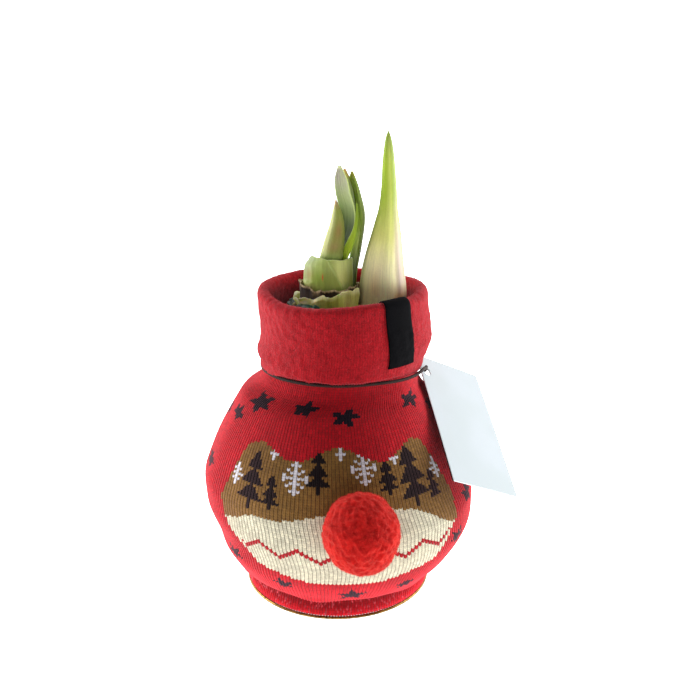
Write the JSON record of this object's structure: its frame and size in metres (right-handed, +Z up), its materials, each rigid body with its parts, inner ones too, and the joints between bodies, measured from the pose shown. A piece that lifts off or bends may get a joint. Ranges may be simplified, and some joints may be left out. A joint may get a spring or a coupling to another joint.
{
  "type": "amaryllis bulb",
  "caption": "Waxed amaryllis bulb with buds and strap leaves, in a red knitted cover with a folded collar, pompom, hang tag and label, standing on a wire ring",
  "frame": {"origin": "the middle of the whole object's box, on the floor it stands on", "axes": "+Z up; -Y is the front, with the pompom; +X is the side of the hang tag"},
  "size_m": [0.1368, 0.1438, 0.2034],
  "materials": {
    "bulb": "fleshy, pale brown",
    "wax_coat": "dark green wax, softly glossy",
    "outer_scale": "fleshy pale green, torn edge",
    "dry_tunic": "dry brown papery skin",
    "neck_collar": "fleshy pale green, cut flat",
    "flower_bud_tall": "green to cream with a pink side, fine lengthwise veins",
    "flower_bud_short": "pale green with a pink brown blush",
    "leaf_pale": "silvery green",
    "leaf_middle": "green with a brown tip",
    "leaf_dark": "dark green with a light edge",
    "leaf_bright": "bright green",
    "knit_cover": "fine knit, mostly red, with a knitted winter landscape",
    "neck_cord": "dark brown covered elastic",
    "hang_tag": "coated white card",
    "woven_label": "black woven ribbon",
    "pompom": "red felted wool",
    "wire_stand": "drawn wire, polished"
  },
  "bodies": {
    "root": {"bulb": "bulb", "wax_coat": "wax_coat", "outer_scale": "outer_scale", "dry_tunic": "dry_tunic", "neck_collar": "neck_collar", "flower_bud_tall": "flower_bud_tall", "flower_bud_short": "flower_bud_short", "leaf_pale": "leaf_pale", "leaf_middle": "leaf_middle", "leaf_dark": "leaf_dark", "leaf_bright": "leaf_bright", "knit_cover": "knit_cover", "neck_cord": "neck_cord", "hang_tag": "hang_tag", "woven_label": "woven_label", "pompom": "pompom", "wire_stand": "wire_stand"}
  },
  "joints": []
}
